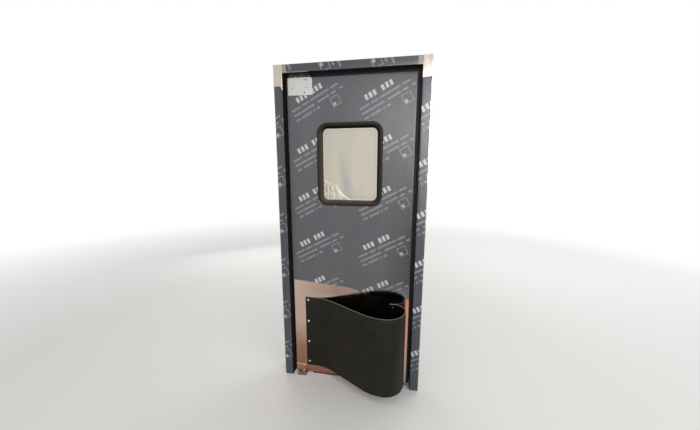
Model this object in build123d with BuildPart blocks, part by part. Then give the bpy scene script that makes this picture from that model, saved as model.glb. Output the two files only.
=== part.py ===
"""A swinging traffic door: a stainless steel leaf on centre pivots in a bent steel frame. Millimetres.

X runs from the hinge jamb to the strike jamb, Y from the front to the back, and Z up from the floor.
The origin is on the hinge jamb's wall face, at the middle of the frame's depth, at floor level.
"""
from build123d import *
from math import asin, atan2, cos, degrees, hypot, sin, sqrt
import os

os.makedirs("parts", exist_ok=True)

# Frame: three channels of bent sheet, open towards the wall
frame_width = 954.0
frame_height = 2120.0
frame_depth = 120.0
jamb_face = 57.0
header_face = 49.0
frame_sheet = 1.5
bend_radius = 2.5
return_lip = 22.0

# Wall anchors, set between the lips of the jambs, the lowest one at the floor
anchor_thickness = 3.0
anchor_height = 60.0
anchor_hole_radius = 5.0
anchor_pairs = 2
anchor_side_clearance = 2.0

# Leaf: two folded skins over a foam core with edge channels
leaf_thickness = 40.0
hinge_gap = 12.0
strike_gap = 24.0
top_gap = 22.0
floor_gap = 10.0
skin = 1.2
skin_rim = 16.0
skin_fold_radius = 2.0
channel_width = 30.0
groove_depth = 12.0

# Edge seals
seal_thickness = 16.0
seal_clearance = 5.0
sweep_thickness = 12.0
sweep_reach = 5.0
seal_round = 3.0

# Window: a pane held in a rubber ring with an H-shaped section
window_width = 420.0
window_height = 524.0
window_middle_height = 1518.0
window_corner = 68.0
gasket_band = 36.0
gasket_overlap = 18.0
gasket_lip = 6.0
gasket_bevel = 2.5
pane_thickness = 6.0
pane_bite = 12.0
rubber_fit = 0.2

# Bumpers: one sheet each, rolled to a teardrop and screwed on by its two flanges
bumper_sheet = 5.0
bumper_bottom = 67.0
bumper_height = 532.0
bumper_setback = 87.0
bumper_flange = 66.0
bumper_reach = 210.0
bumper_nose = 784.0
flare_radius = 260.0
crown_radius = 270.0
shoulder_radius = 132.0
heel_radius = 78.0
heel_flange = 28.0

# Pivots, on one upright axis
pivot_setback = 55.0
pin_radius = 10.0
running_clearance = 0.05
bracket_length = 164.0
bracket_depth = 108.0
bracket_thickness = 6.0
bracket_corner = 6.0
top_pin_engagement = 44.0
block_length = 70.0
block_height = 56.0
pin_relief = 6.0
floor_plate_width = 68.0
floor_plate_depth = 120.0
floor_plate_thickness = 5.0
floor_plate_corner = 8.0
floor_screw_radius = 4.0
floor_screw_inset = 12.0
washer_radius = 20.0
washer_thickness = 3.0
washer_play = 0.1
boss_radius = 18.0
floor_pin_engagement = 38.0
case_length = 74.8
case_height = 52.8

# Covers over the pivots
top_cover_width = 159.0
top_cover_height = 105.0
top_cover_thickness = 6.0
top_cover_setback = 9.0
top_cover_rise = 2.0
top_cover_corner = 14.0
top_cover_edge = 2.0
low_cover_length = 76.0
low_cover_height = 54.0
low_cover_thickness = 2.0
low_cover_corner = 20.0
low_cover_margin = 1.5
low_cover_edge = 0.7

# Places that follow from the sizes
half_leaf = leaf_thickness / 2
leaf_left = jamb_face + hinge_gap
leaf_right = frame_width - jamb_face - strike_gap
leaf_bottom = floor_gap
leaf_top = frame_height - header_face - top_gap
leaf_width = leaf_right - leaf_left
leaf_height = leaf_top - leaf_bottom
leaf_middle = (leaf_left + leaf_right) / 2
half_inside = half_leaf - skin
groove_width = leaf_thickness - 2 * skin_rim
inside_fold = skin_fold_radius - skin
inside_bottom = leaf_bottom + skin + inside_fold
inside_top = leaf_top - skin - inside_fold
pivot_x = leaf_left + pivot_setback
header_under = frame_height - header_face
bracket_under = header_under - bracket_thickness
block_left = leaf_left + skin + channel_width
block_right = block_left + block_length
block_bottom = inside_top - block_height
case_left = leaf_left + skin
case_right = case_left + case_length
case_bottom = leaf_bottom + skin
case_top = case_bottom + case_height
hole_width = window_width - 2 * gasket_overlap
hole_height = window_height - 2 * gasket_overlap
hole_corner = window_corner - gasket_overlap
sight_width = window_width - 2 * gasket_band
sight_height = window_height - 2 * gasket_band
sight_corner = window_corner - gasket_band
bracket_sweep = hypot(jamb_face + bracket_length - pivot_x, bracket_depth / 2)
floor_plate_sweep = hypot(floor_plate_width / 2, floor_plate_depth / 2)


def save(piece, name):
    """Label a finished piece and write it under its node's name."""
    piece.part.label = name
    export_step(piece.part, f"parts/{name}.step")


def channel_section(face):
    """Section of a bent channel: its open side on local X = 0, its web at X = face."""
    with BuildSketch() as section:
        Rectangle(face, frame_depth, align=(Align.MIN, Align.CENTER))
        fillet(section.vertices(), bend_radius)
        offset(amount=-frame_sheet, mode=Mode.SUBTRACT)
        Rectangle(2 * frame_sheet, frame_depth - 2 * return_lip, align=(Align.MIN, Align.CENTER),
                  mode=Mode.SUBTRACT)
    return section.sketch


def seal_head(reach, thickness):
    """Section of a seal's head, from the leaf's edge on local X = 0 out to X = reach."""
    with BuildSketch() as section:
        Rectangle(reach, thickness, align=(Align.MIN, Align.CENTER))
        fillet(section.vertices().group_by(Axis.X)[-1], min(seal_round, 0.45 * reach))
    return section.sketch


def seal_section(reach, thickness):
    """Section of a push-in seal: its head, and its root along local -X in the channel's groove."""
    with BuildSketch() as section:
        add(seal_head(reach, thickness))
        Rectangle(skin + groove_depth, groove_width, align=(Align.MAX, Align.CENTER))
    return section.sketch


def head_reach(edge, limit):
    """Reach of a rounded head on an edge this far from the pivot, whose corners swing on a circle."""
    return sqrt((limit - seal_round) ** 2 - (seal_thickness / 2 - seal_round) ** 2) + seal_round - edge


def rail_section():
    """Section of an edge channel: its grooved edge on local X = 0, its body along -X."""
    with BuildSketch() as section:
        Rectangle(channel_width, 2 * half_inside, align=(Align.MAX, Align.CENTER))
        chamfer(section.vertices().group_by(Axis.X)[-1], inside_fold)
        Rectangle(groove_depth, groove_width, align=(Align.MAX, Align.CENTER), mode=Mode.SUBTRACT)
    return section.sketch


def front(y):
    """Upright plane facing the front at depth y, with local X along +X and local Y along +Z."""
    return Plane(origin=(0, y, 0), x_dir=(1, 0, 0), z_dir=(0, -1, 0))


def edge_plane(x, z, outwards, along):
    """Plane for the section of a seal or channel that points outwards and is extruded along an edge."""
    return Plane(origin=(x, 0, z), x_dir=outwards, z_dir=along)


# Hinge jamb
with BuildPart() as hinge_jamb:
    with BuildSketch():
        add(channel_section(jamb_face))
    extrude(amount=frame_height)
save(hinge_jamb, "hinge_jamb")

# Strike jamb
with BuildPart() as strike_jamb:
    with BuildSketch(Plane((frame_width, 0, 0), x_dir=(-1, 0, 0), z_dir=(0, 0, 1))):
        add(channel_section(jamb_face))
    extrude(amount=frame_height)
save(strike_jamb, "strike_jamb")

# Header, butted between the jambs
with BuildPart() as header:
    with BuildSketch(Plane((jamb_face, 0, frame_height), x_dir=(0, 0, -1), z_dir=(1, 0, 0))):
        add(channel_section(header_face))
    extrude(amount=frame_width - 2 * jamb_face)
save(header, "header")

# Wall anchors, with their pads flush with the jamb's lips
pad_half = frame_depth / 2 - return_lip - anchor_side_clearance
anchor_pitch = (frame_height - anchor_height) / (2 * anchor_pairs - 1)
with BuildPart() as hinge_jamb_anchors:
    with BuildSketch():
        with Locations((frame_sheet, 0)):
            Rectangle(anchor_thickness, frame_depth - 2 * bend_radius - 2 * frame_sheet,
                      align=(Align.MIN, Align.CENTER))
        Rectangle(frame_sheet, 2 * pad_half, align=(Align.MIN, Align.CENTER))
    extrude(amount=anchor_height)
    with Locations(Plane((0, 0, anchor_height / 2), x_dir=(0, 1, 0), z_dir=(-1, 0, 0))):
        Hole(anchor_hole_radius)
    lowest = hinge_jamb_anchors.part
    with Locations(*[(0, 0, anchor_pitch * step) for step in range(1, 2 * anchor_pairs)]):
        add(lowest)
save(hinge_jamb_anchors, "hinge_jamb_anchors")

with BuildPart() as strike_jamb_anchors:
    mirror(hinge_jamb_anchors.part, about=Plane.YZ.offset(frame_width / 2))
save(strike_jamb_anchors, "strike_jamb_anchors")

# Top pivot bracket, flat under the header, with the pin fixed in it
with BuildPart() as top_pivot_bracket:
    with BuildSketch(Plane.XY.offset(bracket_under)) as bracket_plan:
        with Locations((jamb_face, 0)):
            Rectangle(bracket_length, bracket_depth, align=(Align.MIN, Align.CENTER))
        fillet(bracket_plan.vertices().group_by(Axis.X)[-1], bracket_corner)
        with Locations((pivot_x, 0)):
            Circle(pin_radius, mode=Mode.SUBTRACT)
    extrude(amount=bracket_thickness)
save(top_pivot_bracket, "top_pivot_bracket")

with BuildPart() as top_pivot_pin:
    with BuildSketch(Plane.XY.offset(leaf_top - skin - top_pin_engagement)):
        with Locations((pivot_x, 0)):
            Circle(pin_radius)
    extrude(amount=header_under - leaf_top + skin + top_pin_engagement)
    chamfer(top_pivot_pin.edges().filter_by(GeomType.CIRCLE).sort_by(Axis.Z)[0], 1.5)
save(top_pivot_pin, "top_pivot_pin")

# Floor pivot: plate, pin and thrust washer
with BuildPart() as floor_pivot_plate:
    with BuildSketch() as floor_plan:
        with Locations((pivot_x, 0)):
            RectangleRounded(floor_plate_width, floor_plate_depth, floor_plate_corner)
            Circle(pin_radius, mode=Mode.SUBTRACT)
    extrude(amount=floor_plate_thickness)
    with Locations((pivot_x, 0, floor_plate_thickness)):
        with GridLocations(floor_plate_width - 2 * floor_screw_inset,
                           floor_plate_depth - 2 * floor_screw_inset, 2, 2):
            Hole(floor_screw_radius)
save(floor_pivot_plate, "floor_pivot_plate")

washer_top = floor_plate_thickness + washer_thickness
with BuildPart() as floor_pivot_pin:
    with BuildSketch():
        with Locations((pivot_x, 0)):
            Circle(pin_radius)
    extrude(amount=case_bottom + floor_pin_engagement)
    chamfer(floor_pivot_pin.edges().filter_by(GeomType.CIRCLE).sort_by(Axis.Z)[-1], 1.5)
save(floor_pivot_pin, "floor_pivot_pin")

with BuildPart() as thrust_washer:
    with BuildSketch(Plane.XY.offset(floor_plate_thickness)):
        with Locations((pivot_x, 0)):
            Circle(washer_radius)
            Circle(pin_radius + running_clearance, mode=Mode.SUBTRACT)
    extrude(amount=washer_thickness)
save(thrust_washer, "thrust_washer")

# Leaf skins: shallow trays whose rims meet the seals
with BuildPart() as front_skin:
    with BuildSketch(front(-half_leaf)):
        with Locations((leaf_middle, (leaf_bottom + leaf_top) / 2)):
            Rectangle(leaf_width, leaf_height)
    extrude(amount=-skin_rim)
    fillet(front_skin.faces().sort_by(Axis.Y)[0].edges(), skin_fold_radius)
    offset(amount=-skin, openings=front_skin.faces().sort_by(Axis.Y)[-1])
    with BuildSketch(front(-half_leaf)):
        with Locations((leaf_middle, window_middle_height)):
            RectangleRounded(hole_width, hole_height, hole_corner)
    extrude(amount=-skin_rim, mode=Mode.SUBTRACT)
    with BuildSketch(front(-half_inside)):
        with Locations((leaf_left, leaf_bottom)):
            Rectangle(case_right - leaf_left, case_top - leaf_bottom, align=(Align.MIN, Align.MIN))
    extrude(amount=-leaf_thickness, mode=Mode.SUBTRACT)
    with BuildSketch(Plane.XY.offset(leaf_top - 2 * skin)):
        with Locations((pivot_x, 0)):
            Circle(pin_radius + pin_relief)
    extrude(amount=2 * skin, mode=Mode.SUBTRACT)
save(front_skin, "front_skin")

with BuildPart() as back_skin:
    mirror(front_skin.part, about=Plane.XZ)
save(back_skin, "back_skin")

# Edge channels behind the rims
with BuildPart() as hinge_edge_channel:
    with BuildSketch(edge_plane(leaf_left + skin, case_top, (-1, 0, 0), (0, 0, 1))):
        add(rail_section())
    extrude(amount=inside_top - case_top)
save(hinge_edge_channel, "hinge_edge_channel")

with BuildPart() as strike_edge_channel:
    with BuildSketch(edge_plane(leaf_right - skin, inside_bottom, (1, 0, 0), (0, 0, 1))):
        add(rail_section())
    extrude(amount=inside_top - inside_bottom)
save(strike_edge_channel, "strike_edge_channel")

rail_right = leaf_right - skin - channel_width
with BuildPart() as top_edge_channel:
    with BuildSketch(edge_plane(block_right, leaf_top - skin, (0, 0, 1), (1, 0, 0))):
        add(rail_section())
    extrude(amount=rail_right - block_right)
save(top_edge_channel, "top_edge_channel")

with BuildPart() as bottom_edge_channel:
    with BuildSketch(edge_plane(case_right, leaf_bottom + skin, (0, 0, -1), (1, 0, 0))):
        add(rail_section())
    extrude(amount=rail_right - case_right)
save(bottom_edge_channel, "bottom_edge_channel")

# Pivot block at the top and pivot case at the bottom, both inside the leaf
with BuildPart() as top_pivot_block:
    with BuildSketch(Plane.XY.offset(block_bottom)):
        with Locations((block_left, 0)):
            Rectangle(block_length, 2 * half_inside, align=(Align.MIN, Align.CENTER))
        with Locations((pivot_x, 0)):
            Circle(pin_radius + running_clearance, mode=Mode.SUBTRACT)
    extrude(amount=inside_top - block_bottom)
save(top_pivot_block, "top_pivot_block")

with BuildPart() as lower_pivot_case:
    with BuildSketch(Plane.XY.offset(case_bottom)):
        with Locations((case_left, 0)):
            Rectangle(case_length, 2 * half_inside, align=(Align.MIN, Align.CENTER))
            Rectangle(groove_depth, groove_width, align=(Align.MIN, Align.CENTER), mode=Mode.SUBTRACT)
    extrude(amount=case_height)
    with BuildSketch(Plane.XY.offset(washer_top + washer_play)):
        with Locations((pivot_x, 0)):
            Circle(boss_radius)
    extrude(amount=case_bottom - washer_top - washer_play)
    with BuildSketch(Plane.XY.offset(washer_top)):
        with Locations((pivot_x, 0)):
            Circle(pin_radius + running_clearance)
    extrude(amount=case_bottom + floor_pin_engagement + 1 - washer_top, mode=Mode.SUBTRACT)
save(lower_pivot_case, "lower_pivot_case")

# Foam core, cut for the window and the pivots
with BuildPart() as foam_core:
    with BuildSketch(front(-half_inside)):
        core_left = leaf_left + skin + channel_width
        core_bottom = leaf_bottom + skin + channel_width
        core_top = leaf_top - skin - channel_width
        with Locations((core_left, core_bottom)):
            Rectangle(rail_right - core_left, core_top - core_bottom, align=(Align.MIN, Align.MIN))
        with Locations((leaf_middle, window_middle_height)):
            RectangleRounded(hole_width, hole_height, hole_corner, mode=Mode.SUBTRACT)
        with Locations((case_left, case_bottom)):
            Rectangle(case_length, case_height, align=(Align.MIN, Align.MIN), mode=Mode.SUBTRACT)
        with Locations((block_left, block_bottom)):
            Rectangle(block_length, block_height, align=(Align.MIN, Align.MIN), mode=Mode.SUBTRACT)
    extrude(amount=-2 * half_inside)
save(foam_core, "foam_core")

# Edge seals: heads as long as the swing past the frame allows
hinge_seal_reach = head_reach(pivot_x - leaf_left, pivot_x - jamb_face - seal_clearance)
with BuildPart() as hinge_seal:
    with BuildSketch(edge_plane(leaf_left, leaf_bottom + skin, (-1, 0, 0), (0, 0, 1))):
        add(seal_section(hinge_seal_reach, seal_thickness))
    extrude(amount=leaf_height - 2 * skin)
save(hinge_seal, "hinge_seal")

strike_seal_reach = head_reach(leaf_right - pivot_x, leaf_right + strike_gap - pivot_x - seal_clearance)
top_seal_reach = top_gap - seal_clearance
with BuildPart() as strike_seal:
    with BuildSketch(edge_plane(leaf_right, leaf_bottom + skin, (1, 0, 0), (0, 0, 1))):
        add(seal_section(strike_seal_reach, seal_thickness))
    extrude(amount=leaf_height - 2 * skin)
    with BuildSketch(edge_plane(leaf_right, leaf_top - skin, (1, 0, 0), (0, 0, 1))):
        add(seal_head(strike_seal_reach, seal_thickness))
    extrude(amount=skin + top_seal_reach)
save(strike_seal, "strike_seal")

# The top seal is lower where the bracket passes over it
high_seal_start = pivot_x + bracket_sweep + seal_clearance
with BuildPart() as top_seal:
    with BuildSketch(edge_plane(block_right, leaf_top, (0, 0, 1), (1, 0, 0))):
        add(seal_section(top_seal_reach - bracket_thickness, seal_thickness))
    extrude(amount=high_seal_start - block_right)
    with BuildSketch(edge_plane(high_seal_start, leaf_top, (0, 0, 1), (1, 0, 0))):
        add(seal_section(top_seal_reach, seal_thickness))
    extrude(amount=rail_right - high_seal_start)
    with BuildSketch(edge_plane(rail_right, leaf_top, (0, 0, 1), (1, 0, 0))):
        add(seal_head(top_seal_reach, seal_thickness))
    extrude(amount=leaf_right - rail_right)
save(top_seal, "top_seal")

# The sweep under the leaf starts clear of the floor plate
sweep_start = pivot_x + floor_plate_sweep + seal_clearance
with BuildPart() as bottom_sweep:
    with BuildSketch(edge_plane(sweep_start, leaf_bottom, (0, 0, -1), (1, 0, 0))):
        add(seal_section(sweep_reach, sweep_thickness))
    extrude(amount=rail_right - sweep_start)
    with BuildSketch(edge_plane(rail_right, leaf_bottom, (0, 0, -1), (1, 0, 0))):
        add(seal_head(sweep_reach, sweep_thickness))
    extrude(amount=leaf_right - rail_right)
save(bottom_sweep, "bottom_sweep")

# Window ring: lips on both skins, a web in the hole, and a slot for the pane
with BuildPart() as window_gasket:
    with BuildSketch(front(-half_leaf - gasket_lip)):
        with Locations((leaf_middle, window_middle_height)):
            RectangleRounded(window_width, window_height, window_corner)
    extrude(amount=-leaf_thickness - 2 * gasket_lip)
    with BuildSketch(front(-half_leaf)):
        with Locations((leaf_middle, window_middle_height)):
            RectangleRounded(window_width + 2, window_height + 2, window_corner + 1)
            RectangleRounded(hole_width - 2 * rubber_fit, hole_height - 2 * rubber_fit,
                             hole_corner - rubber_fit, mode=Mode.SUBTRACT)
    extrude(amount=-leaf_thickness, mode=Mode.SUBTRACT)
    with BuildSketch(front(-half_leaf - gasket_lip)):
        with Locations((leaf_middle, window_middle_height)):
            RectangleRounded(sight_width, sight_height, sight_corner)
    extrude(amount=-leaf_thickness - 2 * gasket_lip, mode=Mode.SUBTRACT)
    rims = window_gasket.faces().group_by(Axis.Y)
    chamfer(rims[0].edges() + rims[-1].edges(), gasket_bevel)
    with BuildSketch(front(-pane_thickness / 2)):
        with Locations((leaf_middle, window_middle_height)):
            RectangleRounded(sight_width + 2 * pane_bite, sight_height + 2 * pane_bite,
                             sight_corner + pane_bite)
    extrude(amount=-pane_thickness, mode=Mode.SUBTRACT)
save(window_gasket, "window_gasket")

with BuildPart() as window_pane:
    pane_edge = pane_bite - rubber_fit
    with BuildSketch(front(-pane_thickness / 2)):
        with Locations((leaf_middle, window_middle_height)):
            RectangleRounded(sight_width + 2 * pane_edge, sight_height + 2 * pane_edge,
                             sight_corner + pane_edge)
    extrude(amount=-pane_thickness)
save(window_pane, "window_pane")

# Bumper: one strip in plan, from the front flange round the nose to the flange inside. Its ramp is the
# common tangent of the flare at the flange and the arc that runs up to the crown.
start = Vector(leaf_left + bumper_setback, -half_leaf - bumper_sheet)
flare_start = start + Vector(bumper_flange, 0)
crown = Vector(leaf_left + bumper_nose - shoulder_radius, -half_leaf - bumper_reach)
bends = flare_radius + crown_radius
along = crown.X - flare_start.X
rise = flare_start.Y - crown.Y - bends
slope = atan2(rise, along) + asin(bends / hypot(along, rise))
crown_start = crown - crown_radius * Vector(sin(slope), cos(slope) - 1)
with BuildPart() as front_bumper:
    with BuildSketch(Plane.XY.offset(bumper_bottom)):
        with BuildLine() as outline:
            flange = Line(start, flare_start)
            flare = JernArc(flange @ 1, flange % 1, flare_radius, -degrees(slope))
            ramp = Line(flare @ 1, crown_start)
            over = JernArc(ramp @ 1, ramp % 1, crown_radius, degrees(slope))
            shoulder = JernArc(over @ 1, over % 1, shoulder_radius, 90)
            heel = JernArc(shoulder @ 1, shoulder % 1, heel_radius, 90)
            Line(heel @ 1, (heel @ 1) + Vector(-heel_flange, 0))
            offset(amount=bumper_sheet, side=Side.LEFT)
        make_face()
    extrude(amount=bumper_height)
save(front_bumper, "front_bumper")

with BuildPart() as back_bumper:
    mirror(front_bumper.part, about=Plane.XZ)
save(back_bumper, "back_bumper")

# Covers over the top pivot, with bevelled edges and one round corner
with BuildPart() as front_hinge_cover:
    with BuildSketch(front(-half_leaf)) as cover_face:
        with Locations((leaf_left + top_cover_setback, leaf_top + top_cover_rise)):
            Rectangle(top_cover_width, top_cover_height, align=(Align.MIN, Align.MAX))
        fillet(cover_face.vertices().sort_by(Axis.Z)[-2:].sort_by(Axis.X)[-1], top_cover_corner)
    extrude(amount=top_cover_thickness)
    chamfer(front_hinge_cover.faces().sort_by(Axis.Y)[0].edges(), top_cover_edge)
save(front_hinge_cover, "front_hinge_cover")

with BuildPart() as back_hinge_cover:
    mirror(front_hinge_cover.part, about=Plane.XZ)
save(back_hinge_cover, "back_hinge_cover")

# Stainless covers over the lower pivot
with BuildPart() as front_lower_cover:
    with BuildSketch(front(-half_leaf)) as low_face:
        with Locations((leaf_left + low_cover_margin, leaf_bottom + low_cover_margin)):
            Rectangle(low_cover_length, low_cover_height, align=(Align.MIN, Align.MIN))
        fillet(low_face.vertices().group_by(Axis.X)[-1].sort_by(Axis.Z)[-1], low_cover_corner)
    extrude(amount=low_cover_thickness)
    chamfer(front_lower_cover.faces().sort_by(Axis.Y)[0].edges(), low_cover_edge)
save(front_lower_cover, "front_lower_cover")

with BuildPart() as back_lower_cover:
    mirror(front_lower_cover.part, about=Plane.XZ)
save(back_lower_cover, "back_lower_cover")

print(f"Leaf {leaf_width:.0f} by {leaf_height:.0f}, pivot at x = {pivot_x:.0f}, reach {bumper_reach:.0f}")
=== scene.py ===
"""The looks of a swinging traffic door: film, rubber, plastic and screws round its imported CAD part.

Metres, in the CAD part's own frame: X from the hinge jamb to the strike jamb, Y from the front to the back,
Z up from the floor. Sizes are written in millimetres and turned into metres where they are used.
"""
from contextlib import contextmanager
from math import asin, atan2, cos, hypot, pi, radians, sin

import bmesh
import bpy
from bpy.props import FloatProperty, FloatVectorProperty, PointerProperty
from bpy.types import Operator, Panel, PropertyGroup
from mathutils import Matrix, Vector, noise


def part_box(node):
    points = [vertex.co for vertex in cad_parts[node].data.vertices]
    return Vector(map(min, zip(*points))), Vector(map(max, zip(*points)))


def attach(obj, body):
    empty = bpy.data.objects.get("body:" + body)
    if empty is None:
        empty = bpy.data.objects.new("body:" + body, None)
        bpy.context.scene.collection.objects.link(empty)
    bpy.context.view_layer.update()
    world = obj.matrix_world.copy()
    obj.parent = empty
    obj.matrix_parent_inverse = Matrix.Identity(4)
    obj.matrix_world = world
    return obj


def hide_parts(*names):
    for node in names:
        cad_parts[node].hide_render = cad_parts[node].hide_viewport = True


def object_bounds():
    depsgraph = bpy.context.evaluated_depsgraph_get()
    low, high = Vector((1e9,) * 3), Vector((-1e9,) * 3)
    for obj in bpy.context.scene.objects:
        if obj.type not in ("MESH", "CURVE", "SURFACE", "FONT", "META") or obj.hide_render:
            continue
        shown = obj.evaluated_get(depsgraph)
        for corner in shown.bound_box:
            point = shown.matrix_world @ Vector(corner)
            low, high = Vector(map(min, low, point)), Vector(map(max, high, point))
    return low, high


bl_info = {
    "name": "Traffic Door Looks",
    "version": (1, 0, 0),
    "blender": (4, 5, 0),
    "location": "View3D > Sidebar > Traffic Door",
    "description": "Film, rubber, plastic and screws for a swinging traffic door",
    "category": "Object",
}

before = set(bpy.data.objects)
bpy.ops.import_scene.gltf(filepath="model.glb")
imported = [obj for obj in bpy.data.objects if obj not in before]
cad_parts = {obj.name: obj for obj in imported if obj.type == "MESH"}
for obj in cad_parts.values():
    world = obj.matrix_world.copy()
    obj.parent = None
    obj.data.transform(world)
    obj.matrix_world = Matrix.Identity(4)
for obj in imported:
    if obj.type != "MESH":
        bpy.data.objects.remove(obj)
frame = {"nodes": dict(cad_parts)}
cad_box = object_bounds()

MM = 0.001
FRONT, BACK = -1, 1
QUARTER = pi / 2
AXIS_X, AXIS_Z = (1, 0, 0), (0, 0, 1)

# Places nearer than this count as one
CLOSE = 0.01 * MM

# Places that come from the CAD part
jamb_low, jamb_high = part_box("hinge_jamb")
strike_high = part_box("strike_jamb")[1]
header_low, header_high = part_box("header")
bracket_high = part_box("top_pivot_bracket")[1]
skin_low, skin_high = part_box("front_skin")
ring_low, ring_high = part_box("window_gasket")
pane_low, pane_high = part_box("window_pane")
bumper_low, bumper_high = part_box("front_bumper")
cover_low, cover_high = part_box("front_hinge_cover")
low_cover_low, low_cover_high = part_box("front_lower_cover")
sweep_low, sweep_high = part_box("bottom_sweep")
plate_low, plate_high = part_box("floor_pivot_plate")
half_leaf = -skin_low.y
half_frame = -jamb_low.y
ring_middle, ring_half = (ring_low + ring_high) / 2, (ring_high - ring_low) / 2
RING_BAND = 36 * MM
SIGHT_CORNER = 32 * MM

# Places across the door where the leaf's film begins to lie tight on the steel, and where it does so wholly
TIGHT_FROM, TIGHT_FULL = 430 * MM, 480 * MM


def linear(red, green, blue):
    """A colour on a screen, 0 to 255, as the amounts of light that a shader takes."""
    return tuple(((level / 255 + 0.055) / 1.055) ** 2.4 for level in (red, green, blue))


def toned(tint, *factors):
    """A colour with its three amounts multiplied, all by one factor or each by its own."""
    factors = factors * 3 if len(factors) == 1 else factors
    return tuple(level * factor for level, factor in zip(tint, factors))


def held(value):
    """A value kept between none and all."""
    return min(max(value, 0.0), 1.0)


def size(name, description, millimetres):
    """A length that a user may change."""
    return FloatProperty(name=name, description=description, default=millimetres * MM, min=0.0,
                         subtype="DISTANCE", unit="LENGTH", precision=4)


def share(name, description, amount):
    """A share that a user may change, from none to all."""
    return FloatProperty(name=name, description=description, default=amount, min=0.0, max=1.0,
                         subtype="FACTOR")


def power(name, description, watts):
    """A lamp's power that a user may change."""
    return FloatProperty(name=name, description=description, default=watts, min=0.0, subtype="POWER",
                         unit="POWER")


def colour(name, description, *levels):
    """A colour that a user may change."""
    return FloatVectorProperty(name=name, description=description, default=linear(*levels), size=3,
                               min=0.0, max=1.0, subtype="COLOR")


# Settings

class SteelSettings(PropertyGroup):
    """Colours and grain of the stainless sheet"""
    # The leaf's colours are partly painted reflection: a warm one all over and at the foot, copper at the
    # strike edge, brown over the bumper
    leaf: colour("Leaf", "Bare steel of the leaf, warm in tone", 218, 190, 172)
    leaf_floor_reflection: colour("Leaf foot", "Bare steel of the leaf near the floor", 172, 124, 98)
    strike_edge_reflection: colour("Glow", "Copper tone at the leaf's strike edge", 216, 142, 112)
    shadow: colour("Shadow", "Brown tone of the leaf over the bumper", 92, 74, 60)
    frame: colour("Frame", "Bare steel of the frame", 196, 184, 172)
    grain: size("Grain", "Width of the brushed grain", 0.5)
    roughness: share("Roughness", "How much the steel blurs what it mirrors", 0.11)


class FilmSettings(PropertyGroup):
    """The protective film on the leaf and the frame"""
    leaf: colour("Leaf film", "Colour of the film on the leaf", 91, 90, 94)
    frame: colour("Frame film", "Colour of the film on the frame", 70, 72, 79)
    heavy: colour("Heavy print", "Colour of the print's blocks", 198, 198, 200)
    light: colour("Light print", "Colour of the print's thin rows", 158, 158, 163)
    gap: size("Gap", "Distance from the steel to the middle of the film", 0.2)
    thickness: size("Thickness", "Thickness of the film", 0.2)
    curl: size("Curl", "How far the torn edge stands off the steel", 4.0)
    # Painted shade: the film in the reveals is near black, and stands a little off them
    reveal_shade: colour("Lining", "Colour of the lining in the reveals", 15, 15, 16)
    padding: size("Padding", "How far the lining stands off the jambs' reveals", 1.7)
    slant: FloatProperty(name="Slant", description="Angle of the printed rows", default=radians(28.0),
                         subtype="ANGLE", unit="ROTATION")


class WindowSettings(PropertyGroup):
    """The window's rubber ring and the film on its pane"""
    rubber: colour("Rubber", "Colour of the ring", 46, 42, 36)
    # Painted light and shade: the ring's colours where its faces turn to the upper right, and where they turn
    # away
    dust_and_painted_light: colour("Dust", "Colour of the ring where dust settles on it", 104, 95, 84)
    shaded_faces: colour("Folds", "Colour of the ring where it looks down", 9, 7, 4)
    corner: size("Corner", "Radius of the ring's outer corners", 68.0)
    wall: size("Wall", "Thickness of the ring's skin", 1.5)
    film: colour("Pane film", "Colour of the milky film on the pane", 197, 189, 175)
    peel_width: size("Peel width", "How far the loose corner of the film reaches along the bottom", 168.0)
    peel_height: size("Peel height", "How far the loose corner of the film reaches up the side", 130.0)


class BumperSettings(PropertyGroup):
    """The teardrop bumpers, one rolled sheet each"""
    sheet: size("Sheet", "Thickness of the plastic sheet", 5.0)
    flange: size("Flange", "Length of the outer flange", 66.0)
    flare: size("Flare", "Bend radius where the sheet leaves the outer flange", 260.0)
    crown: size("Crown", "Bend radius before the highest point", 270.0)
    shoulder: size("Shoulder", "Bend radius after the highest point", 132.0)
    heel: size("Heel", "Bend radius where the sheet comes back to the leaf", 78.0)
    heel_flange: size("Heel flange", "Length of the inner flange", 28.0)
    plastic: colour("Plastic", "Colour of the sheet", 30, 27, 22)
    # Painted shade: the near-black, dull colour of the sheet's inner face
    inside: colour("Inside", "Colour of the sheet's dull inner face", 5, 5, 4)
    # The sawn edges are pale as a painted highlight
    cut: colour("Cut edge", "Colour of the sheet's sawn edges", 150, 146, 138)


class CoverSettings(PropertyGroup):
    """The white covers over the top pivot"""
    plastic: colour("Plastic", "Colour of the moulded cover", 206, 204, 202)
    corner: size("Corner", "Radius of the cover's one round corner", 14.0)
    edge: size("Edge", "Rounding of the cover's edges", 2.0)
    hole: size("Hole", "Radius of the open screw holes", 4.2)


class ScrewSettings(PropertyGroup):
    """Screws and washers"""
    steel: colour("Steel", "Colour of the bumpers' screws", 226, 222, 212)
    dull: colour("Dull", "Colour of the small and the inner screws", 134, 130, 123)
    head: size("Head", "Radius of a pan head", 5.0)
    washer: size("Washer", "Radius of a bumper washer", 7.6)
    small_head: size("Small head", "Radius of a cover screw's head", 3.6)


class StageSettings(PropertyGroup):
    """Floor, backdrop, lamps and camera"""
    floor: colour("Floor", "Colour of the floor", 226, 224, 221)
    daylight: share("Daylight", "Light from all round", 0.62)
    key: power("Key lamp", "Power of the large lamps at the front right and the back", 50.0)
    window: power("Window lamp", "Power of the lamps on the other sides", 24.0)
    fill: power("Fill lamp", "Power of the soft lamp at the front left", 10.0)
    sheen: power("Sheen lamps", "Power of the strips that only show as a sheen", 44.0)
    lens: FloatProperty(name="Lens", description="Focal length of the camera", default=14.37, min=1.0,
                        subtype="DISTANCE_CAMERA", unit="CAMERA")


# Selecting and shaping

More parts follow.
